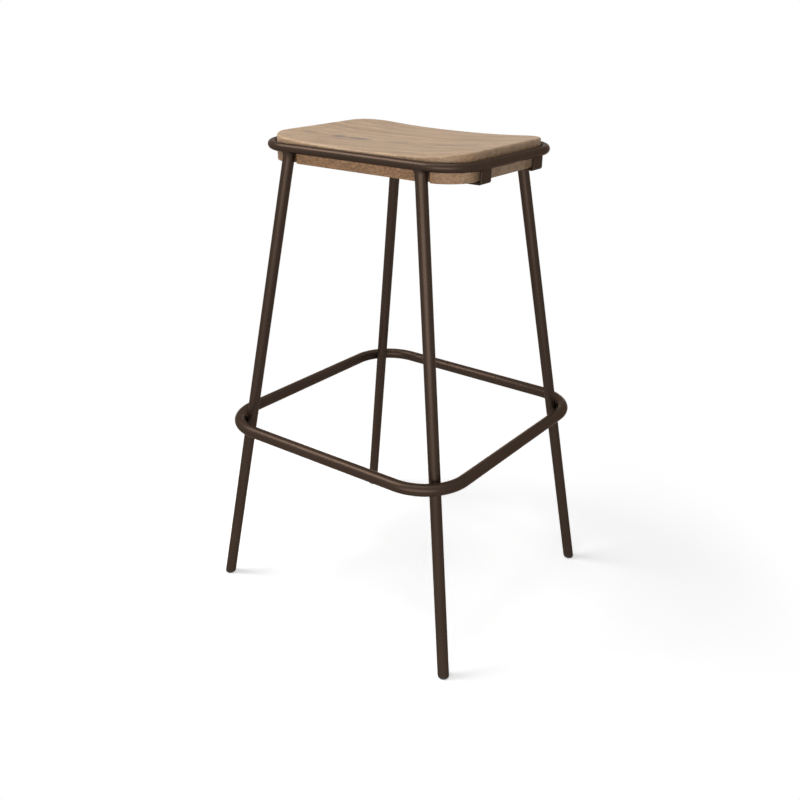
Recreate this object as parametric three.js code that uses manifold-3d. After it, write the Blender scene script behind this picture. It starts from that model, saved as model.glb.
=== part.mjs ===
// Bar stool: a dished wooden seat board dropped into a bent steel ring, on four
// splayed tube legs that nest in the corners of a closed footrest ring.
// Millimetres, +Z up, -Y is the front, origin on the floor under the seat's centre.
import * as THREE from 'three';
import { mergeVertices } from 'three/addons/utils/BufferGeometryUtils.js';
import Module from 'manifold-3d';

// ---- Driving dimensions ----

// Clearance between two pieces that touch or are welded.
const fitGap = 0.3;

// Legs: distances between their axes at the floor, and how far each head stands
// in from the end of the seat ring and from the centre line of its long bar.
const footSpreadX = 459;
const footSpreadY = 411;
const headFromEnd = 64;
const headInset = 5;
const legDiameter = 17.5;
const legWall = 1.5;

// Seat ring: height of the bar's centre, and its centre line seen from above.
const ringHeight = 740;
const ringLength = 361;
const ringWidth = 272;
const ringCornerRadius = 57;
const ringBar = 13;

// Seat board: its ends rise above the centre of the ring's bar.
const boardClearance = 1;
const boardRise = 17;
const boardThickness = 39.5;
const dishDepth = 8;
const dishPower = 2.3;
const topEdgeRadius = 4;
const bottomChamfer = 1.2;
const fluteRadius = 12;

// Straps under the board.
const strapWidth = 25;
const strapThickness = 3;
const strapBendRadius = 2;
const strapSpacing = 142;

// Wood screws through the straps.
const screwSpacing = 200;
const screwShank = 4.4;
const screwHeadDiameter = 9;
const screwHeadHeight = 2.4;
const screwLength = 15;

// Footrest ring: it touches each leg on the inside of its corner bend.
const footrestHeight = 305;
const footrestTube = 18.5;
const footrestCornerRadius = 71;
const footrestContactAngle = 37;

// Glides in the leg ends.
const glideHeight = 5;
const glideEdgeRadius = 3.2;
const glideStemLength = 20;

// Weld fillets.
const headWeldHeight = 9;
const headWeldWidth = 2.4;
const footrestWeldRadius = 6;

// Facets of round pieces, and steps along curves.
const legSides = 24;
const barSides = 20;
const bendSteps = 9;
const smallSides = 16;
const filletSteps = 4;
const boardCornerSteps = 8;
const boardSideSteps = 14;
const boardEndSteps = 6;
const dishLoops = 6;

// ---- Worked-out sizes ----
const legRadius = legDiameter / 2;
const ringBarRadius = ringBar / 2;
const footrestRadius = footrestTube / 2;
const boardInset = ringBarRadius + boardClearance;
const boardHalfLength = ringLength / 2 - boardInset;
const boardHalfWidth = ringWidth / 2 - boardInset;
const boardCornerRadius = ringCornerRadius - boardInset;
const boardTop = ringHeight + boardRise;
const boardBottom = boardTop - boardThickness;
const strapTop = boardBottom - fitGap;
const strapUnderside = strapTop - strapThickness;
const strapHalfLength = (ringLength + strapThickness) / 2;
const headSpreadX = ringLength - 2 * headFromEnd;
const headSpreadY = ringWidth - 2 * headInset;

const wasm = await Module();
wasm.setup();

// ---- Materials ----
const finish = {
  wood: new THREE.MeshStandardMaterial({ color: 0xb59f87, roughness: 0.6, metalness: 0 }),
  bronzePaint: new THREE.MeshStandardMaterial({ color: 0x4e4238, roughness: 0.42, metalness: 0.35 }),
  blackPlastic: new THREE.MeshStandardMaterial({ color: 0x1c1917, roughness: 0.55, metalness: 0 }),
  darkZinc: new THREE.MeshStandardMaterial({ color: 0x5a5650, roughness: 0.4, metalness: 0.8 }),
};

// ---- Solids ----

// A closed three.js geometry as a solid that can be cut and joined.
function solid(geometry) {
  const bare = geometry.index ? geometry.toNonIndexed() : geometry.clone();
  bare.deleteAttribute('normal');
  bare.deleteAttribute('uv');
  const merged = mergeVertices(bare, 1e-4);
  const vertProperties = new Float32Array(merged.attributes.position.array);
  const triVerts = new Uint32Array(merged.index.array);
  return new wasm.Manifold(new wasm.Mesh({ numProp: 3, vertProperties, triVerts }));
}

function geometryOf(body) {
  const { vertProperties, triVerts } = body.getMesh();
  const geometry = new THREE.BufferGeometry();
  geometry.setAttribute('position', new THREE.BufferAttribute(new Float32Array(vertProperties), 3));
  geometry.setIndex(new THREE.BufferAttribute(new Uint32Array(triVerts), 1));
  geometry.computeVertexNormals();
  return geometry;
}

// A round rod between two points.
function rod(from, to, radius, sides) {
  const along = new THREE.Vector3().subVectors(to, from);
  const geometry = new THREE.CylinderGeometry(radius, radius, along.length(), sides);
  const up = new THREE.Vector3(0, 1, 0);
  geometry.applyQuaternion(new THREE.Quaternion().setFromUnitVectors(up, along.clone().normalize()));
  const middle = new THREE.Vector3().addVectors(from, to).multiplyScalar(0.5);
  geometry.translate(middle.x, middle.y, middle.z);
  return solid(geometry);
}

function block(low, high) {
  const size = new THREE.Vector3().subVectors(high, low);
  const geometry = new THREE.BoxGeometry(size.x, size.y, size.z);
  geometry.translate((low.x + high.x) / 2, (low.y + high.y) / 2, (low.z + high.z) / 2);
  return solid(geometry);
}

// The centre line of a bar bent to a rounded rectangle. Its stations are the
// ends of the bends and even steps round them, so straight runs stay single.
class RoundedRectangle extends THREE.Curve {
  constructor(length, width, cornerRadius, height) {
    super();
    const centreX = length / 2 - cornerRadius;
    const centreY = width / 2 - cornerRadius;
    const quarters = [[1, 1], [-1, 1], [-1, -1], [1, -1]];
    this.stations = [];
    quarters.forEach(([sideX, sideY], quarter) => {
      for (let step = 0; step <= bendSteps; step += 1) {
        const angle = (quarter + step / bendSteps) * Math.PI / 2;
        const x = sideX * centreX + cornerRadius * Math.cos(angle);
        const y = sideY * centreY + cornerRadius * Math.sin(angle);
        const tangent = new THREE.Vector3(-Math.sin(angle), Math.cos(angle), 0);
        this.stations.push({ point: new THREE.Vector3(x, y, height), tangent });
      }
    });
  }

  station(t) {
    const count = this.stations.length;
    return this.stations[Math.round(t * count) % count];
  }

  getPointAt(t) {
    return this.station(t).point.clone();
  }

  getTangentAt(t) {
    return this.station(t).tangent.clone();
  }
}

// A closed ring of round bar. The bar runs back into itself, and where its two
// end faces meet they cancel out.
function bentRing(length, width, cornerRadius, height, barRadius) {
  const path = new RoundedRectangle(length, width, cornerRadius, height);
  const section = new THREE.Shape().absarc(0, 0, barRadius, 0, Math.PI * 2);
  const steps = path.stations.length;
  const bar = new THREE.ExtrudeGeometry(section, { steps, extrudePath: path, curveSegments: barSides / 2 });
  return solid(bar);
}

// ---- Seat ring ----
function seatRingSolid(extra) {
  return bentRing(ringLength, ringWidth, ringCornerRadius, ringHeight, ringBarRadius + extra);
}
const seatRing = seatRingSolid(0);
const seatRingClearance = seatRingSolid(fitGap);

// ---- Legs ----
const quarterNames = { front_left: [-1, -1], front_right: [1, -1], rear_left: [-1, 1], rear_right: [1, 1] };

// A point on a leg's axis at a height.
function onLeg([sideX, sideY], height) {
  const t = height / ringHeight;
  const x = THREE.MathUtils.lerp(footSpreadX, headSpreadX, t) / 2;
  const y = THREE.MathUtils.lerp(footSpreadY, headSpreadY, t) / 2;
  return new THREE.Vector3(sideX * x, sideY * y, height);
}

function legRod(quarter, radius) {
  return rod(onLeg(quarter, -legDiameter), onLeg(quarter, ringHeight + legDiameter), radius, legSides);
}

// The tube is cut level above its glide, and coped to the bar of the seat ring.
function leg(quarter) {
  const tube = legRod(quarter, legRadius).subtract(legRod(quarter, legRadius - legWall));
  const reach = footSpreadX + footSpreadY;
  const low = new THREE.Vector3(-reach, -reach, glideHeight);
  const high = new THREE.Vector3(reach, reach, ringHeight - fitGap);
  return tube.intersect(block(low, high)).subtract(seatRingClearance);
}

// ---- Seat board ----

// The board's outline from above, moved in by an inset. Every inset has the same
// number of points, so that the loops can be joined.
function outlineLoop(inset) {
  const halfLength = boardHalfLength - inset;
  const halfWidth = boardHalfWidth - inset;
  const radius = boardCornerRadius - inset;
  const centreX = halfLength - radius;
  const centreY = halfWidth - radius;
  const points = [];
  const quarters = [[1, 1], [-1, 1], [-1, -1], [1, -1]];
  quarters.forEach(([sideX, sideY], quarter) => {
    for (let step = 0; step <= boardCornerSteps; step += 1) {
      const angle = (quarter + step / boardCornerSteps) * Math.PI / 2;
      const x = sideX * centreX + radius * Math.cos(angle);
      const y = sideY * centreY + radius * Math.sin(angle);
      points.push(new THREE.Vector2(x, y));
    }
    const last = points[points.length - 1];
    const alongSide = quarter % 2 === 0;
    const steps = alongSide ? boardSideSteps : boardEndSteps;
    const next = alongSide ? new THREE.Vector2(-last.x, last.y) : new THREE.Vector2(last.x, -last.y);
    for (let step = 1; step < steps; step += 1) {
      points.push(last.clone().lerp(next, step / steps));
    }
  });
  return points;
}

// Height of the dished top: the ends stand high and the middle is low.
function dishHeight(x) {
  const share = Math.min(1, Math.abs(x) / boardHalfLength);
  return boardTop - dishDepth * (1 - share ** dishPower);
}

// A closed body skinned over a stack of loops with equal counts, each loop
// anticlockwise from above, closed by a fan to a centre point at either end.
function loft(loops, bottomCentre, topCentre) {
  const count = loops[0].length;
  const points = [...loops.flat(), bottomCentre, topCentre];
  const bottom = points.length - 2;
  const top = points.length - 1;
  const lastLoop = (loops.length - 1) * count;
  const index = [];
  for (let i = 0; i < count; i += 1) {
    const next = (i + 1) % count;
    for (let level = 0; level < loops.length - 1; level += 1) {
      const a = level * count + i;
      const b = level * count + next;
      index.push(a, b, b + count, a, b + count, a + count);
    }
    index.push(bottom, next, i);
    index.push(top, lastLoop + i, lastLoop + next);
  }
  const geometry = new THREE.BufferGeometry().setFromPoints(points);
  geometry.setIndex(index);
  return solid(geometry);
}

// The slab before its flutes and screw holes: bottom chamfer, straight sides,
// rounded top edge, then ever smaller loops across the dished top.
function boardBlank() {
  const chamferLoop = outlineLoop(bottomChamfer);
  const sideLoop = outlineLoop(0);
  const loops = [
    chamferLoop.map(({ x, y }) => new THREE.Vector3(x, y, boardBottom)),
    sideLoop.map(({ x, y }) => new THREE.Vector3(x, y, boardBottom + bottomChamfer)),
  ];
  for (let step = 0; step <= filletSteps; step += 1) {
    const angle = step / filletSteps * Math.PI / 2;
    const loop = outlineLoop(topEdgeRadius * (1 - Math.cos(angle)));
    const drop = topEdgeRadius * (1 - Math.sin(angle));
    loops.push(loop.map(({ x, y }) => new THREE.Vector3(x, y, dishHeight(x) - drop)));
  }
  const rim = outlineLoop(topEdgeRadius);
  for (let step = 1; step < dishLoops; step += 1) {
    const share = 1 - step / dishLoops;
    loops.push(rim.map(({ x, y }) => new THREE.Vector3(x * share, y * share, dishHeight(x * share))));
  }
  const bottomCentre = new THREE.Vector3(0, 0, boardBottom);
  return loft(loops, bottomCentre, new THREE.Vector3(0, 0, dishHeight(0)));
}

// An upright flute in the board's side gives each leg head its room. It stops
// at the height of the bar, so the visible rim above the ring stays whole.
function flute(quarter, radius) {
  const middle = onLeg(quarter, (boardBottom + ringHeight) / 2);
  const low = new THREE.Vector3(middle.x, middle.y, boardBottom - boardThickness);
  const high = new THREE.Vector3(middle.x, middle.y, ringHeight + fitGap);
  return rod(low, high, radius, legSides);
}

// ---- Straps and screws ----
const strapNames = { front: -1, rear: 1 };

function screwPlaces(side) {
  const y = side * strapSpacing / 2;
  return [['left', -screwSpacing / 2, y], ['right', screwSpacing / 2, y]];
}

function upright(x, y, low, high, radius) {
  return rod(new THREE.Vector3(x, y, low), new THREE.Vector3(x, y, high), radius, smallSides);
}

function seatBoard() {
  let board = boardBlank();
  for (const quarter of Object.values(quarterNames)) {
    board = board.subtract(flute(quarter, fluteRadius));
  }
  for (const side of Object.values(strapNames)) {
    for (const [, x, y] of screwPlaces(side)) {
      const holeTop = strapUnderside + screwLength;
      board = board.subtract(upright(x, y, strapUnderside, holeTop, screwShank / 2 + fitGap));
    }
  }
  return board;
}

// A flat bar bent up at both ends, its tabs coped to the underside of the ring.
function strap(side) {
  const outerRadius = strapBendRadius + strapThickness;
  const bendX = strapHalfLength - outerRadius;
  const bendZ = strapUnderside + outerRadius;
  const tabTop = ringHeight - ringBarRadius / 2;
  const inside = strapHalfLength - strapThickness;
  const quarterTurn = Math.PI / 2;
  const profile = new THREE.Shape();
  profile.moveTo(-strapHalfLength, tabTop);
  profile.absarc(-bendX, bendZ, outerRadius, -2 * quarterTurn, -quarterTurn);
  profile.absarc(bendX, bendZ, outerRadius, -quarterTurn, 0);
  profile.lineTo(strapHalfLength, tabTop);
  profile.lineTo(inside, tabTop);
  profile.absarc(bendX, bendZ, strapBendRadius, 0, -quarterTurn, true);
  profile.absarc(-bendX, bendZ, strapBendRadius, -quarterTurn, -2 * quarterTurn, true);
  profile.lineTo(-inside, tabTop);
  const extrusion = { depth: strapWidth, bevelEnabled: false, curveSegments: filletSteps };
  const bar = new THREE.ExtrudeGeometry(profile, extrusion);
  bar.rotateX(Math.PI / 2);
  bar.translate(0, side * strapSpacing / 2 + strapWidth / 2, 0);
  let body = solid(bar).subtract(seatRingClearance);
  for (const [, x, y] of screwPlaces(side)) {
    body = body.subtract(upright(x, y, strapUnderside - 1, strapTop + 1, screwShank / 2 + fitGap));
  }
  return body;
}

// A pan-head wood screw: low domed head under the strap, shank with a point.
function screwGeometry() {
  const headRadius = screwHeadDiameter / 2;
  const shankRadius = screwShank / 2;
  const profile = [
    new THREE.Vector2(0, -screwHeadHeight),
    new THREE.Vector2(headRadius - screwHeadHeight / 2, -screwHeadHeight),
    new THREE.Vector2(headRadius, -screwHeadHeight / 2),
    new THREE.Vector2(headRadius, 0),
    new THREE.Vector2(shankRadius, 0),
    new THREE.Vector2(shankRadius, screwLength - screwShank),
    new THREE.Vector2(0, screwLength),
  ];
  const geometry = new THREE.LatheGeometry(profile, smallSides);
  geometry.rotateX(Math.PI / 2);
  return geometryOf(solid(geometry));
}

// ---- Footrest ring ----
// The leg is held against the inside of the bend, at a set angle round it.
function footrestSizes() {
  const leg = onLeg([1, 1], footrestHeight);
  const angle = THREE.MathUtils.degToRad(footrestContactAngle);
  const splay = new THREE.Vector2(footSpreadX - headSpreadX, footSpreadY - headSpreadY);
  splay.divideScalar(2 * ringHeight);
  const lean = splay.x * Math.cos(angle) + splay.y * Math.sin(angle);
  const touch = (legRadius + footrestRadius + fitGap) * Math.hypot(1, lean);
  const centreX = leg.x - (footrestCornerRadius - touch) * Math.cos(angle);
  const centreY = leg.y - (footrestCornerRadius - touch) * Math.sin(angle);
  const length = 2 * (centreX + footrestCornerRadius);
  const width = 2 * (centreY + footrestCornerRadius);
  const reach = footrestCornerRadius - footrestRadius;
  const contact = new THREE.Vector2(centreX + reach * Math.cos(angle), centreY + reach * Math.sin(angle));
  return { length, width, contact };
}
const footrest = footrestSizes();

function footrestSolid(extra) {
  const radius = footrestRadius + extra;
  return bentRing(footrest.length, footrest.width, footrestCornerRadius, footrestHeight, radius);
}

const footrestRing = footrestSolid(0);
const footrestClearance = footrestSolid(fitGap);

// ---- Glides ----
// A rounded pad as wide as the tube, with a stem up its bore. The pad leans
// with the leg, and its underside is level with the floor.
function glide(quarter) {
  const stemRadius = legRadius - legWall - fitGap;
  const padTop = glideHeight - fitGap;
  const flat = legRadius - glideEdgeRadius;
  const profile = [new THREE.Vector2(0, 0)];
  for (let step = 0; step <= filletSteps; step += 1) {
    const angle = step / filletSteps * Math.PI / 2;
    const radius = flat + glideEdgeRadius * Math.sin(angle);
    profile.push(new THREE.Vector2(radius, glideEdgeRadius * (1 - Math.cos(angle))));
  }
  profile.push(new THREE.Vector2(legRadius, padTop));
  profile.push(new THREE.Vector2(0, padTop));
  const pad = new THREE.LatheGeometry(profile, legSides);
  pad.rotateX(Math.PI / 2);
  const foot = onLeg(quarter, 0);
  const lean = onLeg(quarter, 1).sub(foot);
  const shear = new THREE.Matrix4().makeShear(0, 0, 0, 0, lean.x, lean.y);
  pad.applyMatrix4(shear);
  pad.translate(foot.x, foot.y, 0);
  const stemTop = onLeg(quarter, padTop + glideStemLength);
  const stem = rod(onLeg(quarter, padTop / 2), stemTop, stemRadius, legSides);
  return solid(pad).add(stem);
}

// ---- Welds ----
// A concave fillet round the head of a leg, cut to the leg, the ring and the board.
function headWeld(quarter) {
  const bottom = onLeg(quarter, ringHeight - ringBarRadius - headWeldHeight);
  const top = onLeg(quarter, ringHeight);
  const height = bottom.distanceTo(top);
  const profile = [new THREE.Vector2(0, 0)];
  for (let step = 0; step <= filletSteps; step += 1) {
    const share = step / filletSteps;
    profile.push(new THREE.Vector2(legRadius + 2 * fitGap + headWeldWidth * share ** 2, height * share));
  }
  profile.push(new THREE.Vector2(0, height));
  const collar = new THREE.LatheGeometry(profile, legSides);
  const along = new THREE.Vector3().subVectors(top, bottom).normalize();
  collar.applyQuaternion(new THREE.Quaternion().setFromUnitVectors(new THREE.Vector3(0, 1, 0), along));
  collar.translate(bottom.x, bottom.y, bottom.z);
  const reach = footSpreadX;
  const below = block(
    new THREE.Vector3(-reach, -reach, 0),
    new THREE.Vector3(reach, reach, ringHeight - ringBarRadius / 2),
  );
  const outline = new THREE.Shape(outlineLoop(-fitGap));
  const slab = new THREE.ExtrudeGeometry(outline, { depth: boardThickness, bevelEnabled: false });
  slab.translate(0, 0, boardBottom);
  const boardRoom = solid(slab).subtract(flute(quarter, fluteRadius - fitGap));
  return solid(collar)
    .intersect(below)
    .subtract(legRod(quarter, legRadius + fitGap))
    .subtract(seatRingClearance)
    .subtract(boardRoom);
}

// A bead round the touching point of a leg and the footrest.
function footrestWeld(quarter) {
  const [sideX, sideY] = quarter;
  const bead = new THREE.SphereGeometry(footrestWeldRadius, smallSides, smallSides / 2);
  bead.translate(sideX * footrest.contact.x, sideY * footrest.contact.y, footrestHeight);
  return solid(bead)
    .subtract(legRod(quarter, legRadius + fitGap))
    .subtract(footrestClearance);
}

// ---- Assembly ----
const stool = new THREE.Group();

function place(name, geometry, material) {
  const mesh = new THREE.Mesh(geometry, material.clone());
  mesh.name = name;
  stool.add(mesh);
  return mesh;
}

place('seat_board', geometryOf(seatBoard()), finish.wood);
place('seat_ring', geometryOf(seatRing), finish.bronzePaint);
place('footrest_ring', geometryOf(footrestRing), finish.bronzePaint);
for (const [name, quarter] of Object.entries(quarterNames)) {
  place(`leg_${name}`, geometryOf(leg(quarter)), finish.bronzePaint);
  place(`head_weld_${name}`, geometryOf(headWeld(quarter)), finish.bronzePaint);
  place(`footrest_weld_${name}`, geometryOf(footrestWeld(quarter)), finish.bronzePaint);
  place(`foot_glide_${name}`, geometryOf(glide(quarter)), finish.blackPlastic);
}
for (const [name, side] of Object.entries(strapNames)) {
  place(`seat_strap_${name}`, geometryOf(strap(side)), finish.bronzePaint);
  for (const [end, x, y] of screwPlaces(side)) {
    const screw = place(`seat_screw_${name}_${end}`, screwGeometry(), finish.darkZinc);
    screw.position.set(x, y, strapUnderside - fitGap);
  }
}

export default stool;
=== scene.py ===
# %% [markdown]
# # A bar stool with a footrest
# A dished wooden board sits in a ring of bent steel bar, on four splayed tube legs
# that are held in the corners of a second, larger ring: the footrest.
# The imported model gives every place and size. Here each piece gets its true
# roundness and its finish. All lengths are in metres, and MM turns millimetres into them.

from math import acos, atan2, cos, hypot, pi, radians, sin, sqrt

import bpy
import numpy as np
from mathutils import Matrix, Vector


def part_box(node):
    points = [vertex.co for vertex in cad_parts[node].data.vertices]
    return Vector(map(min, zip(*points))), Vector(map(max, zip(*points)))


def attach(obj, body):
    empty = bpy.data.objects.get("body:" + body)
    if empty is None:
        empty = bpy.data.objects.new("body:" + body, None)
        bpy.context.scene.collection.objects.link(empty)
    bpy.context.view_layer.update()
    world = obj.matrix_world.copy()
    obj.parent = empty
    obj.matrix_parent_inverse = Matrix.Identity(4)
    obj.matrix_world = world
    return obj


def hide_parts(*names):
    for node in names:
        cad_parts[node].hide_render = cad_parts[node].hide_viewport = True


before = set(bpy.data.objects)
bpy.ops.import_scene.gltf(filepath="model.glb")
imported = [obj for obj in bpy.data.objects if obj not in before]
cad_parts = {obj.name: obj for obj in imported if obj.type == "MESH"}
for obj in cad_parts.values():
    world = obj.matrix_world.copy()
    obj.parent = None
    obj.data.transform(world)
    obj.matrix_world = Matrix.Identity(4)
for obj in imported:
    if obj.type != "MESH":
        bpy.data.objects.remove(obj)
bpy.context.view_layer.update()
MM = 0.001
print("packed nodes:", len(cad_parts))

# %% [markdown]
# ## Colours as they are written
# The standard view shows a colour as its numbers say. Other views bend bright tones,
# as film does, and the colours below would have to be guessed against that bend.

# %% Keep the standard view of colours
scene = bpy.context.scene
scene.view_settings.view_transform = "Standard"
print("view of colours:", scene.view_settings.view_transform)

# %% [markdown]
# ## Node graphs in words
# A material is a web of nodes. It could be drawn by hand in the shader editor, but a
# drawing can't be read back as text. Here a small class wraps a socket, so that sums
# read as sums. Each sum adds the Math node that works it out.

# %% A socket with operators
class Wire:
    """A socket that gives numbers, and that Python's operators can work on."""

    def __init__(self, graph, socket):
        self.graph = graph
        self.socket = socket

    def __add__(self, other):
        return self.graph.maths("ADD", self, other)

    __radd__ = __add__

    def __sub__(self, other):
        return self.graph.maths("SUBTRACT", self, other)

    def __rsub__(self, other):
        return self.graph.maths("SUBTRACT", other, self)

    def __mul__(self, other):
        return self.graph.maths("MULTIPLY", self, other)

    __rmul__ = __mul__

    def __truediv__(self, other):
        return self.graph.maths("DIVIDE", self, other)

    def __rtruediv__(self, other):
        return self.graph.maths("DIVIDE", other, self)


def opaque(colour):
    """A plain colour with its alpha, or a wire as it is."""
    return colour if isinstance(colour, Wire) else (*colour, 1.0)


print("a wire's operators: + - * /")

# %% [markdown]
# One method adds every kind of node, and the others are short names for the nodes
# that this stool uses most: a mix of two colours, a noise, and a slope, which turns
# part of a value's range into a mask.

# %% A graph of nodes
class Graph:
    """The nodes of a material or of the world."""

    def __init__(self, owner):
        owner.use_nodes = True
        self.tree = owner.node_tree
        self.tree.nodes.clear()

    def node(self, kind, settings=None, sockets=None, output=0):
        """Adds a node: its settings first, then the values or wires of its sockets."""
        made = self.tree.nodes.new(kind)
        for name, value in (settings or {}).items():
            setattr(made, name, value)
        for name, value in (sockets or {}).items():
            self.feed(self.find(made.inputs, name), value)
        return Wire(self, self.find(made.outputs, output)) if len(made.outputs) else made

    def find(self, sockets, name):
        shown = [socket for socket in sockets if socket.enabled]
        if isinstance(name, int):
            return shown[name]
        return next(socket for socket in shown if socket.name == name)

    def feed(self, socket, value):
        if isinstance(value, Wire):
            self.tree.links.new(value.socket, socket)
        else:
            socket.default_value = value

    def maths(self, operation, *terms):
        return self.node("ShaderNodeMath", {"operation": operation}, dict(enumerate(terms)))

    def clamp(self, value):
        return self.node("ShaderNodeClamp", None, {"Value": value})

    def mix(self, share, first, second, blend="MIX"):
        """A share of the second colour over the first, or multiplied onto it."""
        settings = {"data_type": "RGBA", "blend_type": blend}
        sockets = {"Factor": share, "A": opaque(first), "B": opaque(second)}
        return self.node("ShaderNodeMix", settings, sockets)

    def noise(self, place, scale, detail, roughness=0.5):
        sockets = {"Vector": place, "Scale": scale, "Detail": detail, "Roughness": roughness}
        return self.node("ShaderNodeTexNoise", None, sockets, "Fac")

    def slope(self, value, low, high):
        """Runs from 0 to 1 while value runs from low to high, and stops there."""
        sockets = {"Value": value, "From Min": low, "From Max": high}
        return self.node("ShaderNodeMapRange", {"clamp": True}, sockets)

    def finish(self, kind, wire):
        self.node(kind, None, {"Surface": wire})


print("nodes have short names for:", "maths, clamp, mix, noise, slope")

# %% [markdown]
# ## The room
# A white floor and a white world make the plain ground of a catalogue picture. Light
# from a white world would wash out the shading of the tubes. So the world is white
# only where the camera or a shiny surface looks at it, and sheds hardly any light.

# %% White to the eye, dark as a lamp
WORLD_GLOW = 0.02
WHITE = (1.0, 1.0, 1.0)


def seen(graph):
    """1 for a ray from the camera, or one that a shiny or clear surface sends on."""
    names = ("Is Camera Ray", "Is Glossy Ray", "Is Transmission Ray")
    flags = [graph.node("ShaderNodeLightPath", None, None, name) for name in names]
    return graph.clamp(flags[0] + flags[1] + flags[2])


def sky(graph, strength):
    sockets = {"Color": opaque(WHITE), "Strength": strength}
    return graph.node("ShaderNodeBackground", None, sockets)


world = bpy.data.worlds.new("white_room")
scene.world = world
room = Graph(world)
skies = {0: seen(room), 1: sky(room, WORLD_GLOW), 2: sky(room, 1.0)}
room.finish("ShaderNodeOutputWorld", room.node("ShaderNodeMixShader", None, skies))
print("world glow on the stool:", WORLD_GLOW)

# %% [markdown]
# The floor is white paint with a little light of its own, so that only the stool's
# shadow shows on it. Away from the stool it fades into plain white, and no horizon
# is seen. Other rays meet a dull grey, which keeps the floor from lighting the stool
# from below.

# %% Floor paint
FLOOR_WHITE = (0.9, 0.9, 0.9)
FLOOR_BOUNCE = (0.10, 0.10, 0.10)
FLOOR_GLOW = 0.48
FADE_START = 0.40
FADE_END = 0.70


def object_place(graph):
    return graph.node("ShaderNodeTexCoord", None, None, "Object")


def matte(graph, colour):
    return graph.node("ShaderNodeBsdfDiffuse", None, {"Color": opaque(colour)})


def own_light(graph, strength):
    sockets = {"Color": opaque(WHITE), "Strength": strength}
    return graph.node("ShaderNodeEmission", None, sockets)


def floor_paint():
    paint = bpy.data.materials.new("floor_paint")
    graph = Graph(paint)
    length = {"operation": "LENGTH"}
    from_middle = graph.node("ShaderNodeVectorMath", length, {0: object_place(graph)}, "Value")
    faded = graph.slope(from_middle, FADE_START, FADE_END)
    lit_paint = {0: matte(graph, FLOOR_WHITE), 1: own_light(graph, FLOOR_GLOW)}
    near = graph.node("ShaderNodeAddShader", None, lit_paint)
    shown = graph.node("ShaderNodeMixShader", None, {0: faded, 1: near, 2: own_light(graph, 1.0)})
    both = {0: seen(graph), 1: matte(graph, FLOOR_BOUNCE), 2: shown}
    graph.finish("ShaderNodeOutputMaterial", graph.node("ShaderNodeMixShader", None, both))
    return paint


white_paint = floor_paint()
print("the floor fades to plain white from", FADE_START, "to", FADE_END, "m")

# %% The floor
FLOOR_REACH = 3.0

floor_mesh = bpy.data.meshes.new("floor")
floor_sides = ((-1, -1), (1, -1), (1, 1), (-1, 1))
floor_corners = [(x * FLOOR_REACH, y * FLOOR_REACH, 0.0) for x, y in floor_sides]
floor_mesh.from_pydata(floor_corners, [], [(0, 1, 2, 3)])
floor_mesh.materials.append(white_paint)
floor = bpy.data.objects.new("floor", floor_mesh)
scene.collection.objects.link(floor)
print("the floor reaches", FLOOR_REACH, "m each way")

# %% [markdown]
# ## Lamps
# Four soft panels, as a product studio has them. A round tube shows a lamp as one
# streak along its whole length, and the streak is as broad as the lamp is wide. So
# the panel in front is a wide low strip, which gives the broad sheen of satin paint.
# The panel on the left stands high and models the seat and the near edges. A weak
# one hangs overhead. A weak one stands low behind, under the level of the seat, so
# that it lights the back of the stool and draws no glare on the wood.

# %% Lamps
def panel(name, place, target, width, height, power):
    """A flat soft light at a place, turned towards a target."""
    lamp = bpy.data.lights.new(name, "AREA")
    lamp.shape = "RECTANGLE"
    lamp.size = width
    lamp.size_y = height
    lamp.energy = power
    holder = bpy.data.objects.new(name, lamp)
    holder.location = place
    holder.rotation_euler = (Vector(target) - Vector(place)).to_track_quat("-Z", "Y").to_euler()
    scene.collection.objects.link(holder)


STOOL_MIDDLE = (0.0, 0.0, 0.45)
panel("front_panel", (1.08, -2.36, 0.75), STOOL_MIDDLE, 2.9, 1.1, 47)
panel("left_panel", (-1.36, -0.97, 2.39), STOOL_MIDDLE, 1.1, 1.1, 44)
panel("top_panel", (0.0, -0.2, 2.8), STOOL_MIDDLE, 1.0, 1.0, 13)
panel("rear_panel", (-1.3, 2.2, 0.35), STOOL_MIDDLE, 1.8, 0.6, 14)

# %% [markdown]
# ## The camera
# It looks down on the stool from its front right corner. Its place is worked out
# from angles and a distance, so that the view can be read off the numbers.

# %% Camera
VIEW_TURN = radians(36.36)
VIEW_RISE = radians(23.865)
VIEW_ROLL = radians(0.65)
VIEW_DISTANCE = 1516.8 * MM
VIEW_TARGET = Vector((0.0, 0.0, 370 * MM))
VIEW_SIDE = 8.03 * MM
VIEW_LIFT = 41.37 * MM
LENS = 41.27
SENSOR = 36.0

level_reach = cos(VIEW_RISE)
backward = Vector((sin(VIEW_TURN) * level_reach, -cos(VIEW_TURN) * level_reach, sin(VIEW_RISE)))
level_right = (-backward).cross(Vector((0, 0, 1))).normalized()
level_up = level_right.cross(-backward)
right = level_right * cos(VIEW_ROLL) + level_up * sin(VIEW_ROLL)
up = level_up * cos(VIEW_ROLL) - level_right * sin(VIEW_ROLL)
eye = VIEW_TARGET + backward * VIEW_DISTANCE - right * VIEW_SIDE - up * VIEW_LIFT

camera_data = bpy.data.cameras.new("camera")
camera_data.lens = LENS
camera_data.sensor_width = SENSOR
camera = bpy.data.objects.new("camera", camera_data)
turn = Matrix((right, up, backward)).transposed()
camera.matrix_world = Matrix.Translation(eye) @ turn.to_4x4()
scene.collection.objects.link(camera)
scene.camera = camera
print("camera at", [round(value, 3) for value in eye])

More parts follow.
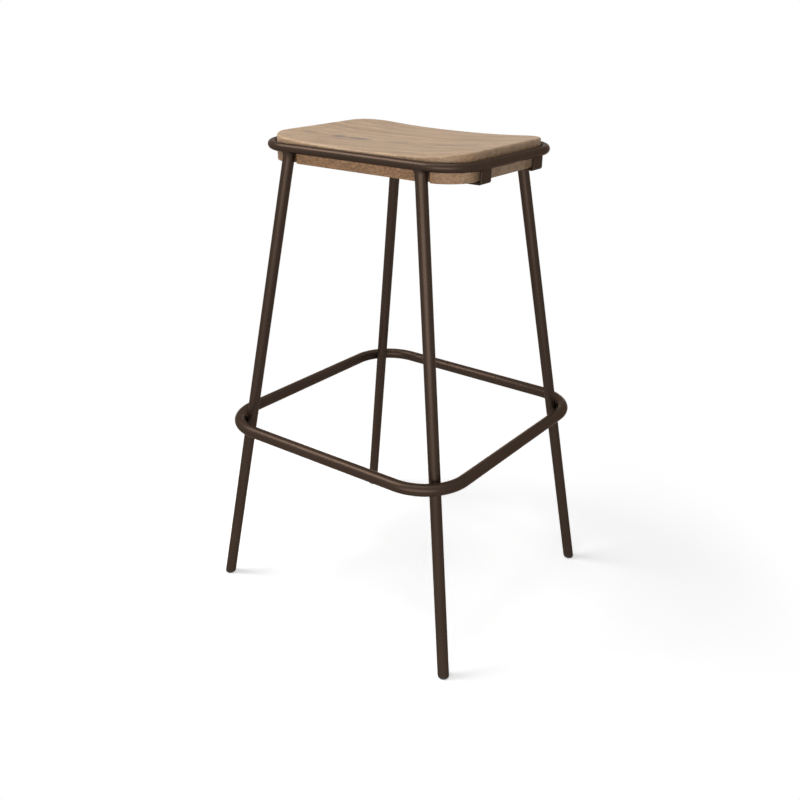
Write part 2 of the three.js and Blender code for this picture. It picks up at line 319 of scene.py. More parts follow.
# %% [markdown]
# ## Powder coat
# The steel is powder coated in a dark bronze: brown resin with fine metal flakes in
# it, melted in an oven into a satin skin with a faint orange peel. Plain brown paint
# would be too dull and bare metal too bright, so the surface is set between the two,
# as a mostly metallic one with a very dark colour. Clouds, a few pale specks and the
# peel keep it from looking like one flat colour. A smooth surface mirrors the room
# towards its rim and turns white there. The peel breaks that mirror up, so the tint,
# which sets the reflection near the rim, is a brown as well.

# %% Bronze powder coat
DARK_BRONZE = (0.043, 0.028, 0.0200)
LIGHT_BRONZE = (0.054, 0.036, 0.0265)
FLAKE = (0.12, 0.10, 0.085)
RIM_BROWN = (0.45, 0.38, 0.31)
CLOUDS_PER_METRE = 14.0
PEEL_PER_METRE = 420.0
FLAKES_PER_METRE = 1500.0
PEEL_DEPTH = 0.1 * MM


def bumped(graph, height, strength, depth):
    sockets = {"Height": height, "Strength": strength, "Distance": depth}
    return graph.node("ShaderNodeBump", None, sockets)


def finished(name, graph, sockets):
    """Ends a material's graph in one surface with the given sockets."""
    surface = graph.node("ShaderNodeBsdfPrincipled", None, sockets)
    graph.finish("ShaderNodeOutputMaterial", surface)
    print(name, "takes", len(graph.tree.nodes), "nodes")


def powder_coat():
    paint = bpy.data.materials.new("bronze_powder_coat")
    graph = Graph(paint)
    place = object_place(graph)
    peel = graph.noise(place, PEEL_PER_METRE, 2.0)
    cloud = graph.noise(place, CLOUDS_PER_METRE, 3.0)
    speck = graph.slope(graph.noise(place, FLAKES_PER_METRE, 1.0), 0.62, 0.75)
    tone = graph.mix(cloud, DARK_BRONZE, LIGHT_BRONZE)
    sockets = {
        "Base Color": graph.mix(speck * 0.25, tone, FLAKE),
        "Roughness": 0.33 + cloud * 0.05 + peel * 0.05,
        "Metallic": 0.7,
        "Specular IOR Level": 0.12,
        "Specular Tint": opaque(RIM_BROWN),
        "Normal": bumped(graph, peel, 0.25, PEEL_DEPTH),
    }
    finished("the powder coat", graph, sockets)
    return paint


bronze_paint = powder_coat()

# %% [markdown]
# ## Seat wood
# The board is glued up from a few staves of one tan wood that run along its length.
# A picture of wood would be the quick way, but it would have to be bent round every
# edge. So the wood is a solid here, and each point asks where it lies in the tree.
# The grain runs a little askew of the sides, as it does in most sawn boards. Most of
# the pattern is noise drawn out along the grain. The four numbers of such a noise are
# its changes per metre along the grain and across it, its detail and its roughness.

# %% Where a point lies in the wood
GRAIN_SKEW = 0.17
STAVE_WIDTH = 64 * MM
ring_low, ring_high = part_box("seat_ring")
seat_ring_level = (ring_low.z + ring_high.z) / 2
print("the seat ring lies at", round(seat_ring_level / MM, 1), "mm")


def split(graph, vector):
    return [graph.node("ShaderNodeSeparateXYZ", None, {"Vector": vector}, axis) for axis in "XYZ"]


def drawn_out(graph, place, along, across, detail, roughness):
    """Noise that changes so often in a metre along the grain, and so often across it."""
    sockets = {"Vector": place, "Scale": (along, across, across)}
    stretched = graph.node("ShaderNodeMapping", None, sockets)
    return graph.noise(stretched, 1.0, detail, roughness)


# %% [markdown]
# Growth rings are shells round the heart of a tree, so the pattern is a distance
# from a line that lies below the board. On the top the shells become long streaks,
# and on the sawn ends arcs, with no special case. Each stave has a heart and a tone
# of its own. Dark late wood swells through a year's growth and stops short.

# %% Staves and growth rings
YEAR_WIDTH = 4.6 * MM
YEAR_WANDER = 20 * MM
HEART_LEVEL = 600 * MM
HEART_SWING = 60 * MM
STAVE_SEED = 3.0
STAVE_SHIFT = 7.0
WANDER = (2.5, 14.0, 2.0, 0.5)


def stave_at(graph, across):
    """The number of the stave that a point lies in, and a random tone for it."""
    stave = graph.maths("FLOOR", across / STAVE_WIDTH + 0.5)
    settings = {"noise_dimensions": "1D"}
    tone = graph.node("ShaderNodeTexWhiteNoise", settings, {"W": stave + STAVE_SEED}, "Value")
    return stave, tone


def late_wood(graph, grain_place, over, height, stave, stave_tone):
    """1 in the dark wood near the end of a year's growth, and 0 in the pale wood."""
    aside = over - stave * STAVE_WIDTH + (stave_tone - 0.5) * HEART_SWING
    above = height - HEART_LEVEL
    shell = graph.maths("SQRT", aside * aside + above * above)
    wander = drawn_out(graph, grain_place, *WANDER) * YEAR_WANDER
    years = graph.maths("FRACT", (shell + wander) / YEAR_WIDTH + stave_tone * STAVE_SHIFT)
    return graph.slope(years, 0.25, 0.88) * graph.slope(years, 1.0, 0.88)


print("a year's growth is", YEAR_WIDTH / MM, "mm")

# %% [markdown]
# A mineral streak is a grey stain that follows one growth line near the top of the
# board, and comes and goes along it. One long stripe would look painted on. So each
# patch is a soft ellipse with a ragged border, drawn out into fingers where the stain
# crept along the fibres. Its three numbers are its middle and half its length, in
# millimetres, and its strength.

# %% Mineral streak
STREAK_LINE = -37.5 * MM
STREAK_HALF_WIDTH = 7.8 * MM
STREAK_DEPTH = 4 * MM
STREAK_PATCHES = ((-98, 12, 0.9), (-64, 19, 1.0), (6, 22, 0.5), (95, 42, 0.45), (-150, 12, 0.4))
STAIN_RIM = 1.6
STAIN_CORE = 0.3
RAGGED_EDGE = (24.0, 260.0, 3.0, 0.6)
RAGGED_REACH = 3.6


def mineral_streak(graph, grain_place, down, over, height):
    ragged = (drawn_out(graph, grain_place, *RAGGED_EDGE) - 0.5) * RAGGED_REACH
    beside = (over - STREAK_LINE) / STREAK_HALF_WIDTH
    stain = 0.0
    for middle, reach, strength in STREAK_PATCHES:
        ahead = (down - middle * MM) / (reach * MM)
        spread = ahead * ahead + beside * beside + ragged
        stain = graph.slope(spread, STAIN_RIM, STAIN_CORE) * strength + stain
    low, high = seat_ring_level - STREAK_DEPTH, seat_ring_level + STREAK_DEPTH
    return stain * graph.slope(height, low, high)


print("patches in the mineral streak:", len(STREAK_PATCHES))

# %% [markdown]
# On upright faces the saw cut the pores open, so brown and pale flecks show. Below
# the ring the long sides are painted warmer and darker, as painted shade under the
# ring, and the sawn ends are painted paler, as painted light on them. The direction
# that a point faces tells these apart, so no part of the mesh is marked.

# %% Sawn faces
PALE_WOOD = (0.46, 0.325, 0.205)
PORE_BROWN = (0.165, 0.090, 0.048)
# painted shade: a darker, warmer tint for the long sides under the ring
PAINTED_SHADE_UNDER_RING = (0.98, 0.82, 0.68)
# painted light: a tint above 1 that makes the end faces paler
PAINTED_LIGHT_ON_ENDS = (1.30, 1.26, 1.28)
RING_SHADE = 2 * MM
FLECK = (220.0, 340.0, 2.0, 0.7)


def flecks_painted_shade_and_light(graph, tone, place, height):
    facing = split(graph, graph.node("ShaderNodeTexCoord", None, None, "Normal"))
    end, side, _ = [graph.maths("ABSOLUTE", axis) for axis in facing]
    low, high = seat_ring_level - RING_SHADE, seat_ring_level + RING_SHADE
    under_ring = graph.slope(height, high, low)
    # painted shade: the long sides below the ring are tinted darker and warmer
    tone = graph.mix(graph.slope(side, 0.5, 0.9) * under_ring, tone, PAINTED_SHADE_UNDER_RING, "MULTIPLY")
    # painted light: the end faces are made paler
    tone = graph.mix(graph.slope(end, 0.5, 0.9), tone, PAINTED_LIGHT_ON_ENDS, "MULTIPLY")
    fleck = drawn_out(graph, place, *FLECK)
    upright = graph.slope(end + side, 0.75, 0.97) * (1.0 - end * 0.4) * (0.42 + under_ring * 0.36)
    tone = graph.mix(graph.slope(fleck, 0.46, 0.58) * upright * 0.75, tone, PORE_BROWN)
    return graph.mix(graph.slope(fleck, 0.43, 0.33) * upright * 0.65, tone, PALE_WOOD)


# painted shade: the height over which the painted shade under the ring fades in
print("the sides turn warmer over", 2 * RING_SHADE / MM, "mm")

# %% [markdown]
# Late wood, darker streaks, fibres, clouds, fine lines and pores are laid over the
# tan like thin stains, the broad ones first. Any one of them alone looks printed.
# Together they give the eye something new at every distance.

# %% Seat wood
TAN = (0.465, 0.310, 0.182)
LATE_WOOD = (0.265, 0.160, 0.088)
DULL_STAVE = (0.34, 0.23, 0.14)
FIBRE_BROWN = (0.210, 0.125, 0.070)
STAIN_GREY = (0.145, 0.110, 0.088)
LINE_DIM = (0.86, 0.84, 0.82)
LINE_BRIGHT = (1.14, 1.15, 1.16)
FIBRE = (16.0, 420.0, 4.0, 0.65)
STREAK = (5.5, 75.0, 3.0, 0.55)
CLOUD = (6.0, 30.0, 2.0, 0.5)
LINE = (9.0, 950.0, 3.0, 0.6)
PORE = (55.0, 1500.0, 1.0, 0.5)
GRAIN_DEPTH = 0.25 * MM


def seat_wood():
    wood = bpy.data.materials.new("seat_wood")
    graph = Graph(wood)
    place = object_place(graph)
    along, across, height = split(graph, place)
    down = along + across * GRAIN_SKEW
    over = across - along * GRAIN_SKEW
    grain_place = graph.node("ShaderNodeCombineXYZ", None, {"X": down, "Y": over, "Z": height})
    grains = (FIBRE, STREAK, CLOUD, LINE, PORE)
    fibre, streak, cloud, line, pore = [drawn_out(graph, grain_place, *grain) for grain in grains]

    stave, stave_tone = stave_at(graph, across)
    late = late_wood(graph, grain_place, over, height, stave, stave_tone)
    tone = graph.mix(late * 0.45, TAN, LATE_WOOD)
    tone = graph.mix(graph.slope(streak, 0.49, 0.61) * 0.62, tone, LATE_WOOD)
    tone = graph.mix(graph.slope(fibre, 0.48, 0.70) * 0.45, tone, FIBRE_BROWN)
    tone = graph.mix(graph.slope(cloud, 0.40, 0.60) * 0.30, tone, PALE_WOOD)
    tone = graph.mix(stave_tone * 0.15, tone, DULL_STAVE)
    tone = graph.mix(mineral_streak(graph, grain_place, down, over, height), tone, STAIN_GREY)
    lines = graph.mix(graph.slope(line, 0.38, 0.62), LINE_DIM, LINE_BRIGHT)
    tone = graph.mix(1.0, tone, lines, "MULTIPLY")
    tone = graph.mix(graph.slope(pore, 0.62, 0.72) * 0.5, tone, PORE_BROWN)

    sockets = {
        "Base Color": flecks_painted_shade_and_light(graph, tone, place, height),
        "Roughness": 0.5 + fibre * 0.12,
        "Normal": bumped(graph, fibre * 0.6 + streak * 0.4, 0.35, GRAIN_DEPTH),
    }
    finished("the seat wood", graph, sockets)
    return wood


board_wood = seat_wood()

# %% [markdown]
# ## Glides and screws
# The glides are black moulded plastic, matt and a little scuffed. The screws are
# steel with a dark zinc coat. Both are a cloud between two close tones with a fine
# grain over it, so one function makes both.

# %% Black plastic and dark zinc
SCUFFS_PER_METRE = 60.0
SCUFF_DEPTH = 0.1 * MM


def plain_finish(name, dark, light, roughness, metallic, grain_scale):
    made = bpy.data.materials.new(name)
    graph = Graph(made)
    place = object_place(graph)
    grain = graph.noise(place, grain_scale, 2.0)
    sockets = {
        "Base Color": graph.mix(graph.noise(place, SCUFFS_PER_METRE, 3.0), dark, light),
        "Roughness": roughness + grain * 0.12,
        "Metallic": metallic,
        "Normal": bumped(graph, grain, 0.2, SCUFF_DEPTH),
    }
    finished(name, graph, sockets)
    return made


BLACKS = (0.010, 0.009, 0.008), (0.020, 0.018, 0.016)
ZINCS = (0.20, 0.19, 0.17), (0.32, 0.30, 0.27)
black_plastic = plain_finish("black_plastic", *BLACKS, 0.42, 0.0, 900.0)
dark_zinc = plain_finish("dark_zinc", *ZINCS, 0.3, 1.0, 700.0)

# %% [markdown]
# ## Skins over loops
# Almost every piece here is a stack of loops with the same number of points, with
# faces skinned between them. A bent bar is loops set along its path. A turned glide
# is loops set along its axis. The board is its outline at several heights. Ready
# cylinders and boxes would be quicker, but they can't follow a bend or a cope.

# %% Skin a stack of loops
def skin(loops, joined=False):
    """Vertices and faces over a stack of loops. A joined stack closes on itself, and
    any other is closed by a fan at either end."""
    loops = [np.asarray(loop, float) for loop in loops]
    count = len(loops[0])
    points = np.concatenate(loops)
    faces = []
    levels = len(loops) if joined else len(loops) - 1
    for level in range(levels):
        low = level * count
        high = (level + 1) % len(loops) * count
        for i in range(count):
            j = (i + 1) % count
            faces.append((low + i, low + j, high + j, high + i))
    if joined:
        return points, faces
    first = len(points)
    points = np.vstack([points, loops[0].mean(0), loops[-1].mean(0)])
    top = first - count
    for i in range(count):
        j = (i + 1) % count
        faces.append((first, j, i))
        faces.append((first + 1, top + i, top + j))
    return points, faces


def round_angles(count):
    """The angles of so many points round a circle."""
    return [2 * pi * step / count for step in range(count)]


def quarter_angles(steps):
    """The angles from 0 to a quarter turn, in so many steps."""
    return [pi / 2 * step / steps for step in range(steps + 1)]


print("a square skinned between two levels has", len(skin(np.zeros((2, 4, 3)))[1]), "faces")

# %% [markdown]
# Each piece is one object with one material. It is shaded smooth, and an edge stays
# sharp where its two faces turn by more than the crease angle. It rides on the
# stool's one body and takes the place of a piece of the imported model.

# %% From a skin to a piece
CREASE = radians(35)


def piece(name, shape, material, slot, *nodes):
    """An object from vertices and faces, which stands for the named CAD nodes."""
    points, faces = shape
    mesh = bpy.data.meshes.new(name)
    mesh.from_pydata([tuple(point) for point in points], [], faces)
    mesh.update()
    mesh.shade_smooth()
    mesh.set_sharp_from_angle(angle=CREASE)
    mesh.materials.append(material)
    made = bpy.data.objects.new(name, mesh)
    scene.collection.objects.link(made)
    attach(made, "root")
    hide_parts(*nodes)
    print(name, "has", len(faces), "faces")


# %% [markdown]
# ## Bent bars
# The seat ring is a round bar and the footrest a round tube. Each is bent round four
# corners and closed by a butt weld. A Blender curve with a round bevel could show
# one, but it has to become a mesh before another program can read it. The outline
# is four arcs with straight runs between them, and a circle is carried round it,
# always square to the path.

# %% Outline of a rounded rectangle
CORNERS = ((1, 1), (-1, 1), (-1, -1), (1, -1))


def outline(half_x, half_y, radius, corner_steps, straight_steps=1):
    """Points and outward directions round a rounded rectangle, anticlockwise."""
    points, outward = [], []
    for quarter, (side_x, side_y) in enumerate(CORNERS):
        for step in range(corner_steps + 1):
            angle = (quarter + step / corner_steps) * pi / 2
            direction = np.array([cos(angle), sin(angle)])
            centre = np.array([side_x * (half_x - radius), side_y * (half_y - radius)])
            points.append(centre + radius * direction)
            outward.append(direction)
        last, direction = points[-1], outward[-1]
        mirror = np.array([-1, 1]) if quarter % 2 == 0 else np.array([1, -1])
        for step in range(1, straight_steps):
            share = step / straight_steps
            points.append(last * (1 - share) + last * mirror * share)
            outward.append(direction)
    return np.array(points), np.array(outward)


print("points round a square with one step a corner:", len(outline(1, 1, 0.1, 1)[0]))

# %% Bars carried round an outline
BAR_SIDES = 40
BEND_STEPS = 20
STRAIGHT_STEPS = 6


class Ring:
    """A bent ring whose sizes are read from its CAD node's box."""

    def __init__(self, node, corner_radius):
        low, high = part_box(node)
        self.bar = (high.z - low.z) / 2
        self.height = (high.z + low.z) / 2
        self.half_x = (high.x - low.x) / 2 - self.bar
        self.half_y = (high.y - low.y) / 2 - self.bar
        self.corner = corner_radius
        print(node, "has a bar of radius", round(self.bar / MM, 2), "mm")

    def shape(self):
        path = outline(self.half_x, self.half_y, self.corner, BEND_STEPS, STRAIGHT_STEPS)
        loops = []
        for (x, y), (out_x, out_y) in zip(*path):
            loop = []
            for angle in round_angles(BAR_SIDES):
                reach, rise = self.bar * cos(angle), self.bar * sin(angle)
                loop.append((x + out_x * reach, y + out_y * reach, self.height + rise))
            loops.append(loop[::-1])
        return skin(loops, joined=True)


# %% Seat ring and footrest ring
SEAT_RING_CORNER = 57 * MM
FOOTREST_CORNER = 71 * MM

seat_ring = Ring("seat_ring", SEAT_RING_CORNER)
footrest = Ring("footrest_ring", FOOTREST_CORNER)
piece("seat_bar", seat_ring.shape(), bronze_paint, "frame_paint", "seat_ring")
piece("footrest_bar", footrest.shape(), bronze_paint, "frame_paint", "footrest_ring")

# %% [markdown]
# ## Legs
# Each leg is a thin tube. Its head is coped, that is cut to the curve of the seat
# ring. A boolean would make that cut, but leaves a rim of uneven triangles that
# shade badly. So the length of every line along the tube is found by where that
# line meets the bar.

# %% Where a leg stands
QUARTERS = {
    "front_left": (-1, -1),
    "front_right": (1, -1),
    "rear_left": (-1, 1),
    "rear_right": (1, 1),
}
FOOT = np.array([229.5, 205.5]) * MM
HEAD = np.array([116.5, 131.0]) * MM
LEG_RADIUS = 8.75 * MM


class Leg:
    """A leg's axis, and two directions square to it."""

    def __init__(self, quarter):
        side = np.array(quarter)
        self.foot = np.array([*(side * FOOT), 0.0])
        self.head = np.array([*(side * HEAD), seat_ring.height])
        self.along = (self.head - self.foot) / np.linalg.norm(self.head - self.foot)
        outward = np.array([*side, 0.0]) / sqrt(2)
        outward -= self.along * (outward @ self.along)
        self.outward = outward / np.linalg.norm(outward)
        self.sideways = np.cross(self.along, self.outward)
        self.bar_centre = np.array([0.0, side[1] * seat_ring.half_y, seat_ring.height])

    def line(self, angle, radius):
        """The point level with the floor on one line of the tube, and its direction out."""
        out = self.outward * cos(angle) + self.sideways * sin(angle)
        return self.foot + out * radius, out

    def at_height(self, start, height):
        return start + self.along * ((height - start[2]) / self.along[2])

    def at_bar(self, start):
        """Where a line up the tube first meets the seat ring's long bar, if it does."""
        offset = (start - self.bar_centre)[1:]
        run = self.along[1:]
        a, b, c = run @ run, 2 * (run @ offset), offset @ offset - seat_ring.bar ** 2
        room = b * b - 4 * a * c
        return start + self.along * ((-b - sqrt(room)) / (2 * a)) if room > 0 else None


legs = {name: Leg(quarter) for name, quarter in QUARTERS.items()}
lean = float(np.degrees(np.arccos(legs["front_left"].along[2])))
print("the legs lean by", round(lean, 2), "degrees")

# %% Tubes with coped heads
LEG_WALL = 1.5 * MM
LEG_SIDES = 48
GLIDE_HEIGHT = 5 * MM
TUBE_LEVELS = (0, 0.25, 0.5, 0.75, 0.97, 1)


def tube_side(leg, radius):
    """Loops up one side of the tube's wall, from the glide to the coped rim."""
    bottom, top = [], []
    for angle in round_angles(LEG_SIDES):
        start, _ = leg.line(angle, radius)
        flat = leg.at_height(start, seat_ring.height)
        met = leg.at_bar(start)
        bottom.append(leg.at_height(start, GLIDE_HEIGHT))
        top.append(flat if met is None or met[2] > flat[2] else met)
    bottom, top = np.array(bottom), np.array(top)
    return [bottom * (1 - share) + top * share for share in TUBE_LEVELS]


def tube(leg):
    """Up the outside, over the coped rim, and down the bore."""
    outside, bore = tube_side(leg, LEG_RADIUS), tube_side(leg, LEG_RADIUS - LEG_WALL)
    return skin(outside + bore[::-1], joined=True)


for name, leg in legs.items():
    piece(f"leg_tube_{name}", tube(leg), bronze_paint, "frame_paint", f"leg_{name}")

# %% [markdown]
# ## Welds at the leg heads
# The tubes are welded to the underside of the ring, and the weld is a small hollow
# curve between the two. A bevel could round that corner if tube and ring were one
# mesh, but they are pieces of their own here. So for every line of the tube the weld
# starts a little below the bar, and ends a little way out on it, with the corner
# between them as the handle of a Bezier curve. At either end it tapers to a thin tail.

# %% Head welds
WELD_DROP = 9 * MM
WELD_REACH = 3.2 * MM
WELD_STEPS = 8
WELD_ROOT = 0.4 * MM
WELD_TAPER = 4
WELD_TAIL = 0.15


def bar_point(leg, point, out):
    """A point pushed out over the bar's surface, and brought back onto it."""
    centre = leg.bar_centre + np.array([point[0], 0.0, 0.0])
    normal = (point - centre) / np.linalg.norm(point - centre)
    slide = out - normal * (out @ normal)
    moved = point + slide / np.linalg.norm(slide) * WELD_REACH
    centre = leg.bar_centre + np.array([moved[0], 0.0, 0.0])
    away = moved - centre
    return centre + away / np.linalg.norm(away) * seat_ring.bar


def head_weld(leg):
    angles = [pi * side / LEG_SIDES for side in range(-LEG_SIDES, LEG_SIDES)]
    lines = [leg.line(angle, LEG_RADIUS) for angle in angles]
    met = [(leg.at_bar(start), out) for start, out in lines]
    met = [item for item in met if item[0] is not None and item[0][2] < seat_ring.height]
    loops = []
    for index, (corner, out) in enumerate(met):
        from_end = min(index, len(met) - 1 - index) / len(met)
        fade = min(1.0, WELD_TAPER * from_end + WELD_TAIL)
        low = corner - leg.along * WELD_DROP * fade
        high = corner + (bar_point(leg, corner, out) - corner) * fade
        curve = []
        for step in range(WELD_STEPS + 1):
            t = step / WELD_STEPS
            curve.append(low * (1 - t) ** 2 + corner * 2 * t * (1 - t) + high * t ** 2)
        root = corner - out * WELD_ROOT + leg.along * WELD_ROOT
        loops.append(curve + [root])
    return skin(loops)


for name, leg in legs.items():
    piece(f"head_bead_{name}", head_weld(leg), bronze_paint, "frame_paint", f"head_weld_{name}")

# %% [markdown]
# ## Welds at the footrest
# A leg and the footrest touch at one point, where two round surfaces cross. The
# weld fills the narrow gap round that point, and ends where the gap is too wide. A
# ring laid round the leg would be simpler, but would float in the air on one side.
# So one edge of the weld lies on the bar, the other on the leg, and a shallow
# groove runs between them.

# %% Footrest welds
CONTACT_ANGLE = radians(37)
BEAD_REACH = 5.6 * MM
BEAD_SIDES = 32
BEAD_RIPPLE = 0.12
GROOVE_SHARE = 0.82


def gap_sides(quarter, leg, along, rise):
    """The points on the bar and on the leg that face each other across the gap."""
    side = np.array(quarter)
    out = np.array([cos(CONTACT_ANGLE), sin(CONTACT_ANGLE)]) * side
    tangent = np.array([-out[1], out[0], 0.0])
    centre = side * (np.array([footrest.half_x, footrest.half_y]) - footrest.corner)
    bar_depth = footrest.bar - sqrt(footrest.bar ** 2 - rise ** 2)
    path = footrest.corner - footrest.bar + bar_depth
    bend = path - sqrt(path ** 2 - along ** 2)
    level = footrest.height + rise
    on_bar = np.array([*(centre + out * (path - bend)), level]) + tangent * along
    lean = leg.at_height(leg.foot, footrest.height) + leg.along * (rise / leg.along[2])
    reach = sqrt(LEG_RADIUS ** 2 - along ** 2)
    on_leg = lean + np.array([*out, 0.0]) * reach + tangent * along
    on_leg[2] = level
    return on_bar, on_leg


def footrest_weld(quarter, leg):
    bar_loop, groove_loop, leg_loop = [], [], []
    for angle in round_angles(BEAD_SIDES):
        swing = BEAD_REACH * (1 + BEAD_RIPPLE * sin(3 * angle + quarter[0]))
        along, rise = swing * cos(angle), swing * sin(angle)
        on_bar, on_leg = gap_sides(quarter, leg, along, rise)
        bar_loop.append(on_bar)
        leg_loop.append(on_leg)
        inner = gap_sides(quarter, leg, along * GROOVE_SHARE, rise * GROOVE_SHARE)
        groove_loop.append(sum(inner) / 2)
    return skin([bar_loop, groove_loop, leg_loop])


for name, quarter in QUARTERS.items():
    shape = footrest_weld(quarter, legs[name])
    piece(f"footrest_bead_{name}", shape, bronze_paint, "frame_paint", f"footrest_weld_{name}")

# %% [markdown]
# ## Straps
# Two flat bars run along the underside of the board, and turn up at their ends to
# the ring. A box with its ends pulled up would show square corners, where the real
# bar is bent round. Sawn flat bar has edges that are only just broken, so its
# section is a rectangle with very small corners, carried along the bent line.

# %% Flat bars with turned-up ends
STRAP_THICK = 3 * MM
STRAP_BEND = 2.5 * MM
STRAP_BEND_STEPS = 8
STRAP_EDGE = 0.5 * MM
STRAP_EDGE_STEPS = 4


def strap(node):
    low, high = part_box(node)
    half_width = (high.y - low.y) / 2
    middle_y = (high.y + low.y) / 2
    half_thick = STRAP_THICK / 2
    end_x = high.x - half_thick
    base_z = low.z + half_thick
    section, _ = outline(half_width, half_thick, STRAP_EDGE, STRAP_EDGE_STEPS)
    path = [(-end_x, high.z, -pi / 2)]
    for turn in quarter_angles(STRAP_BEND_STEPS):
        inward, upward = STRAP_BEND * (1 - cos(turn)), STRAP_BEND * (1 - sin(turn))
        path.append((-end_x + inward, base_z + upward, turn - pi / 2))
    path += [(-x, z, -angle) for x, z, angle in reversed(path)]
    loops = []
    for x, z, angle in path:
        normal_x, normal_z = -sin(angle), cos(angle)
        loops.append([(x + b * normal_x, middle_y + a, z + b * normal_z) for a, b in section])
    return skin(loops)


for side in ("front", "rear"):
    node = f"seat_strap_{side}"
    piece(f"flat_bar_{side}", strap(node), bronze_paint, "frame_paint", node)

# %% [markdown]
# ## The seat board
# On the real stool the board is sawn to its outline, and a hollow is milled along
# it so that the ends stand higher than the middle. The dish depends only on how far
# along the seat a point is, so thighs rest on an even curve from the front edge to
# the rear one. Under the ring four upright flutes give the leg heads their room. A
# smoothed cage could be pushed into such a shape, but would miss the sizes that the
# ring and the legs set. So a quarter of the outline is worked out and mirrored.

# %% Sizes of the board
BOARD_CORNER = 49.5 * MM
BOARD_END_RISE = 17 * MM
DISH_DEPTH = 8 * MM
DISH_POWER = 2.3
FLUTE_RADIUS = 12 * MM
FLUTE_TOP = seat_ring.height + 0.3 * MM

board_low, board_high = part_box("seat_board")
board_half_x, board_half_y = board_high.x, board_high.y
board_end_top = seat_ring.height + BOARD_END_RISE
corner_middle = np.array([board_half_x, board_half_y]) - BOARD_CORNER
head_leg = legs["rear_right"]
flute_middle = head_leg.at_height(head_leg.foot, (board_low.z + seat_ring.height) / 2)[:2]
print("the board is", [round(2 * half / MM, 1) for half in (board_half_x, board_half_y)], "mm")

# %% Outline of the board
END_STEPS, CORNER_STEPS, FLUTE_STEPS, SIDE_STEPS = 12, 14, 12, 20


def quarter_outline(inset, fluted):
    """A quarter of the board's edge, from the middle of its end to the middle of its side."""
    corner, flute, side_y = BOARD_CORNER - inset, FLUTE_RADIUS + inset, board_half_y - inset
    away = flute_middle - corner_middle
    span = hypot(*away)
    swing = acos((span ** 2 + corner ** 2 - flute ** 2) / (2 * span * corner))
    meet = atan2(away[1], away[0]) - swing
    mouth_x = flute_middle[0] - sqrt(flute ** 2 - (flute_middle[1] - side_y) ** 2)
    end_rows = [corner_middle[1] * (i + 0.5) / END_STEPS for i in range(END_STEPS)]
    points = [(board_half_x - inset, row) for row in end_rows]
    for i in range(CORNER_STEPS + 1):
        angle = meet * i / CORNER_STEPS
        points.append(tuple(corner_middle + corner * np.array([cos(angle), sin(angle)])))
    first = atan2(*(np.array(points[-1]) - flute_middle)[::-1])
    last = atan2(side_y - flute_middle[1], mouth_x - flute_middle[0])
    for i in range(1, FLUTE_STEPS):
        angle = first + (last - first) * i / FLUTE_STEPS
        hollow = flute_middle + flute * np.array([cos(angle), sin(angle)])
        over = max(hollow[0] - corner_middle[0], 0.0)
        whole = corner_middle[1] + sqrt(corner ** 2 - over ** 2)
        points.append((hollow[0], hollow[1] if fluted else whole))
    points += [(mouth_x * (1 - i / SIDE_STEPS), side_y) for i in range(SIDE_STEPS)]
    return np.array(points)


def board_outline(inset, fluted=False):
    quarter = quarter_outline(inset, fluted)
    turned = []
    for side in CORNERS:
        mirrored = quarter * side
        turned.append(mirrored if side[0] * side[1] > 0 else mirrored[::-1])
    return np.concatenate(turned)


print("points round the board:", len(board_outline(0)))

# %% [markdown]
# The board's loops run up from its rounded lower edge, along the flutes, over its
# rounded upper edge and inwards on the dish. Where the flutes end, two loops share
# one height, and the faces between them are the flutes' flat tops.

# %% Board
BOTTOM_EDGE = 1.2 * MM
BOTTOM_EDGE_STEPS = 4
TOP_EDGE = 4 * MM
TOP_EDGE_STEPS = 8
DISH_LOOPS = 20


def dish(x):
    return board_end_top - DISH_DEPTH * (1 - min(1.0, abs(x) / board_half_x) ** DISH_POWER)


def board():
    loops = []
    for angle in quarter_angles(BOTTOM_EDGE_STEPS):
        rim = board_outline(BOTTOM_EDGE * (1 - sin(angle)), fluted=True)
        loops.append([(x, y, board_low.z + BOTTOM_EDGE * (1 - cos(angle))) for x, y in rim])
    for fluted in (True, False):
        loops.append([(x, y, FLUTE_TOP) for x, y in board_outline(0, fluted)])
    for angle in quarter_angles(TOP_EDGE_STEPS):
        rim = board_outline(TOP_EDGE * (1 - cos(angle)))
        loops.append([(x, y, dish(x) - TOP_EDGE * (1 - sin(angle))) for x, y in rim])
    rim = board_outline(TOP_EDGE)
    for share in np.linspace(1, 0, DISH_LOOPS)[1:-1]:
        loops.append([(x * share, y * share, dish(x * share)) for x, y in rim])
    return skin(loops)


piece("dished_board", board(), board_wood, "seat_wood", "seat_board")

# %% [markdown]
# ## Glides
# A plastic foot closes each tube: a pad with a rounded rim on the floor, and a stem
# that is pressed up the bore. A profile spun round the tube's axis would tilt the
# pad off the floor. So every loop is level, and only its middle lies on that axis.

# %% Glides
GLIDE_EDGE = 3.2 * MM
GLIDE_EDGE_STEPS = 8
PAD_TOP = 4.7 * MM
STEM_TOP = 24.7 * MM
STEM_RADIUS = LEG_RADIUS - LEG_WALL - 0.3 * MM
STEM_TIP = 1.0 * MM
TURNED_SIDES = 48


def level_circle(middle, radius):
    x, y, z = middle
    return [(x + radius * cos(t), y + radius * sin(t), z) for t in round_angles(TURNED_SIDES)]


def glide(leg):
    profile = []
    for t in quarter_angles(GLIDE_EDGE_STEPS):
        profile.append((LEG_RADIUS - GLIDE_EDGE * (1 - sin(t)), GLIDE_EDGE * (1 - cos(t))))
    profile += [(LEG_RADIUS, PAD_TOP), (STEM_RADIUS, PAD_TOP)]
    profile += [(STEM_RADIUS, STEM_TOP - STEM_TIP), (STEM_RADIUS - STEM_TIP, STEM_TOP)]
    middles = [leg.at_height(leg.foot, height) for _, height in profile]
    return skin([level_circle(at, radius) for at, (radius, _) in zip(middles, profile)])


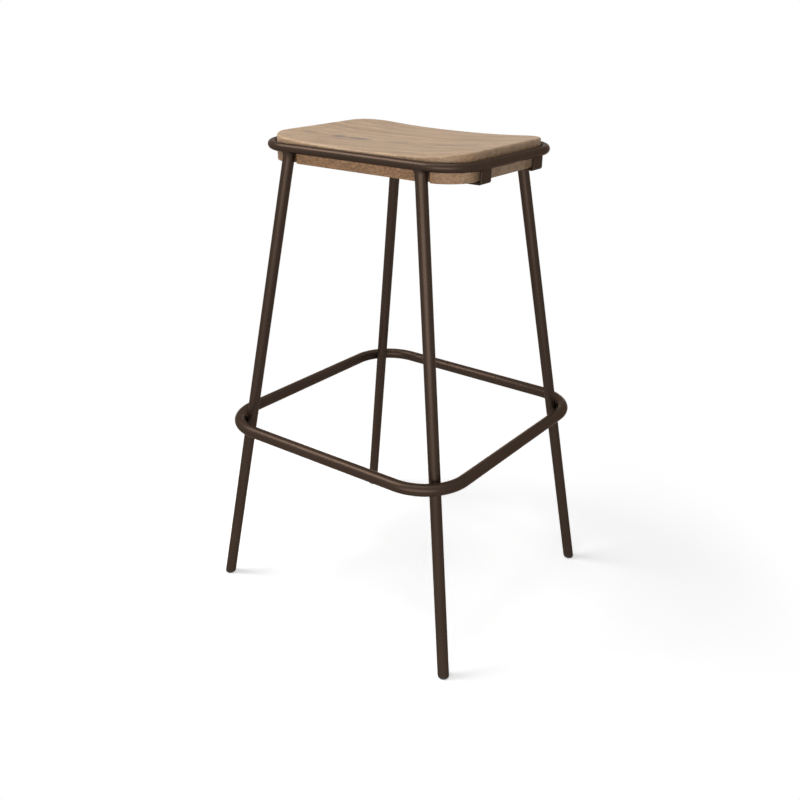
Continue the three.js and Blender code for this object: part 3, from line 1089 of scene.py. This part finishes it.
for name, leg in legs.items():
    piece(f"glide_{name}", glide(leg), black_plastic, "glide_plastic", f"foot_glide_{name}")

# %% [markdown]
# ## Screws
# Four pan-head wood screws hold the board to the straps from below. The head has a
# cross recess, whose outline is the longer of two crossed slots at every angle. A
# real thread climbs, but this one is buried in the wood, so a row of ridges that
# grows thinner towards the point is enough.

# %% Cross recess
CROSS_REACH = 2.3 * MM
CROSS_WIDTH = 0.9 * MM
CROSS_DEPTH = 1.5 * MM
CROSS_TAPER = 0.4
TINY = 1e-6


def cross(middle, scale):
    """The outline of a cross recess at one depth."""
    x, y, z = middle
    points = []
    for turn in round_angles(TURNED_SIDES):
        aim = np.array([abs(cos(turn)), abs(sin(turn))])
        reach = min(CROSS_REACH / aim.max(), CROSS_WIDTH / 2 / max(aim.min(), TINY)) * scale
        points.append((x + reach * cos(turn), y + reach * sin(turn), z))
    return points


print("the cross recess is", CROSS_DEPTH / MM, "mm deep")

# %% Screws
HEAD_RADIUS = 4.5 * MM
HEAD_HEIGHT = 2.4 * MM
HEAD_EDGE_STEPS = 4
SCREW_SHANK = 2.2 * MM
SCREW_CORE = 1.5 * MM
SCREW_PITCH = 1.8 * MM
SCREW_TAPER = 4.4 * MM
SCREW_TIP = 0.2 * MM
THREAD_CREST = 0.98 * SCREW_SHANK


def screw(node):
    low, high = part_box(node)
    x, y = (low.x + high.x) / 2, (low.y + high.y) / 2
    seat_z = low.z + HEAD_HEIGHT
    half_head = HEAD_HEIGHT / 2
    loops = [cross((x, y, low.z + CROSS_DEPTH), CROSS_TAPER), cross((x, y, low.z), 1.0)]
    for angle in quarter_angles(HEAD_EDGE_STEPS):
        level = low.z + half_head * (1 - cos(angle))
        loops.append(level_circle((x, y, level), HEAD_RADIUS - half_head * (1 - sin(angle))))
    loops.append(level_circle((x, y, seat_z), HEAD_RADIUS))
    loops.append(level_circle((x, y, seat_z), SCREW_SHANK))
    level = seat_z + STRAP_THICK
    while level < high.z - SCREW_PITCH / 2:
        taper = min(1.0, (high.z - level) / SCREW_TAPER)
        loops.append(level_circle((x, y, level), SCREW_CORE * taper))
        loops.append(level_circle((x, y, level + SCREW_PITCH / 2), THREAD_CREST * taper))
        level += SCREW_PITCH
    loops.append(level_circle((x, y, high.z), SCREW_TIP))
    return skin(loops)


for name in QUARTERS:
    node = f"seat_screw_{name}"
    piece(f"pan_head_{name}", screw(node), dark_zinc, "screw_steel", node)
